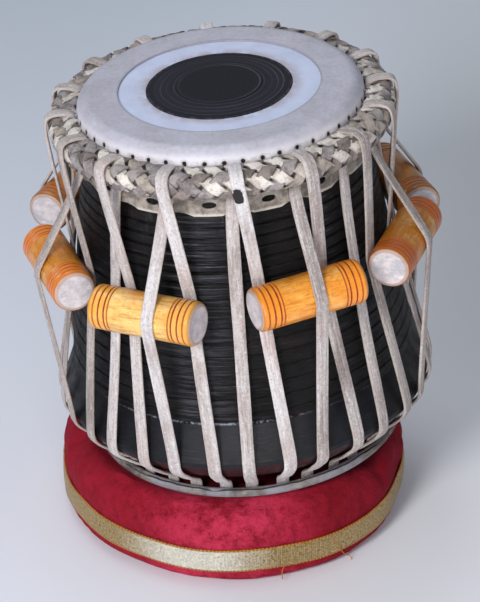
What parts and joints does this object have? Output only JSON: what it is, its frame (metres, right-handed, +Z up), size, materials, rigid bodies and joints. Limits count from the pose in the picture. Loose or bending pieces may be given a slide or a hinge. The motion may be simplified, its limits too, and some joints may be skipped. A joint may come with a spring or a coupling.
{
  "type": "tabla hand drum",
  "caption": "Laced hand drum with a black tuning spot, braided hoop, rawhide straps and sliding tuning blocks, standing on its ring cushion.",
  "frame": {"origin": "centre of the part's footprint, on the floor under the cushion", "axes": "+Z up along the cushion's axis, -Y toward the viewer, +X to the viewer's right; the drum leans 4.4 degrees toward -X"},
  "size_m": [0.2291, 0.2278, 0.264],
  "materials": {
    "shell_lacquer": "black lacquer, semi-gloss, turned grooves",
    "under_skin": "raw skin, matt",
    "playing_skin": "pale stretched skin, satin",
    "rim_skin": "lilac-grey skin, satin",
    "tuning_paste": "matt charcoal paste, fine crackle",
    "hoop_rope": "grey-cream rope, rough",
    "plait_strips": "cream skin strips, satin",
    "lacing": "off-white rawhide, fuzzy nap",
    "bottom_ring": "grey rawhide, rough",
    "block_lacquer": "yellow-orange lacquer, gloss, turned rings",
    "stuffing": "packed fibre",
    "velvet": "crimson velvet",
    "gold_ribbon": "gold metallic braid"
  },
  "bodies": {
    "cushion": {"cushion_stuffing": "stuffing", "cushion_top": "velvet", "cushion_base": "velvet", "cushion_ribbon": "gold_ribbon"},
    "drum": {"shell": "shell_lacquer", "lining_skin": "under_skin", "main_skin": "playing_skin", "rim_skin": "rim_skin", "tuning_spot": "tuning_paste", "hoop_core": "hoop_rope", "hoop_plait": "plait_strips", "bottom_ring": "bottom_ring", "held_strap_1": "lacing", "held_strap_2": "lacing", "held_strap_3": "lacing", "held_strap_4": "lacing", "held_strap_5": "lacing", "held_strap_6": "lacing", "held_strap_7": "lacing", "held_strap_8": "lacing", "block_loop_1": "lacing", "block_loop_2": "lacing", "block_loop_3": "lacing", "block_loop_4": "lacing", "block_loop_5": "lacing", "block_loop_6": "lacing", "block_loop_7": "lacing", "block_loop_8": "lacing", "free_loop_1": "lacing", "free_loop_2": "lacing", "free_loop_3": "lacing", "free_loop_4": "lacing", "free_loop_5": "lacing", "free_loop_6": "lacing", "free_loop_7": "lacing", "free_loop_8": "lacing"},
    "block_1": {"tuning_block_1": "block_lacquer"},
    "block_2": {"tuning_block_2": "block_lacquer"},
    "block_3": {"tuning_block_3": "block_lacquer"},
    "block_4": {"tuning_block_4": "block_lacquer"},
    "block_5": {"tuning_block_5": "block_lacquer"},
    "block_6": {"tuning_block_6": "block_lacquer"},
    "block_7": {"tuning_block_7": "block_lacquer"},
    "block_8": {"tuning_block_8": "block_lacquer"}
  },
  "joints": [
    {"name": "drum_lift", "type": "slide", "parent": "cushion", "child": "drum", "axis": [0, 0, 1], "range_m": [0, 0.12]},
    {"name": "block_1_slide", "type": "slide", "parent": "drum", "child": "block_1", "axis": [0.0133, -0.1236, -0.9922], "range_m": [-0.015, 0.025], "deforming": ["held_strap_1"]},
    {"name": "block_2_slide", "type": "slide", "parent": "drum", "child": "block_2", "axis": [0.1303, -0.1275, -0.9832], "range_m": [-0.015, 0.025], "deforming": ["held_strap_2"]},
    {"name": "block_3_slide", "type": "slide", "parent": "drum", "child": "block_3", "axis": [0.2053, -0.049, -0.9775], "range_m": [-0.015, 0.025], "deforming": ["held_strap_3"]},
    {"name": "block_4_slide", "type": "slide", "parent": "drum", "child": "block_4", "axis": [0.2061, 0.0469, -0.9774], "range_m": [-0.015, 0.025], "deforming": ["held_strap_4"]},
    {"name": "block_5_slide", "type": "slide", "parent": "drum", "child": "block_5", "axis": [0.1286, 0.1282, -0.9834], "range_m": [-0.015, 0.025], "deforming": ["held_strap_5"]},
    {"name": "block_6_slide", "type": "slide", "parent": "drum", "child": "block_6", "axis": [0.0242, 0.1285, -0.9914], "range_m": [-0.015, 0.025], "deforming": ["held_strap_6"]},
    {"name": "block_7_slide", "type": "slide", "parent": "drum", "child": "block_7", "axis": [-0.0478, 0.0618, -0.9969], "range_m": [-0.015, 0.025], "deforming": ["held_strap_7"]},
    {"name": "block_8_slide", "type": "slide", "parent": "drum", "child": "block_8", "axis": [-0.0546, -0.0456, -0.9975], "range_m": [-0.015, 0.025], "deforming": ["held_strap_8"]}
  ]
}
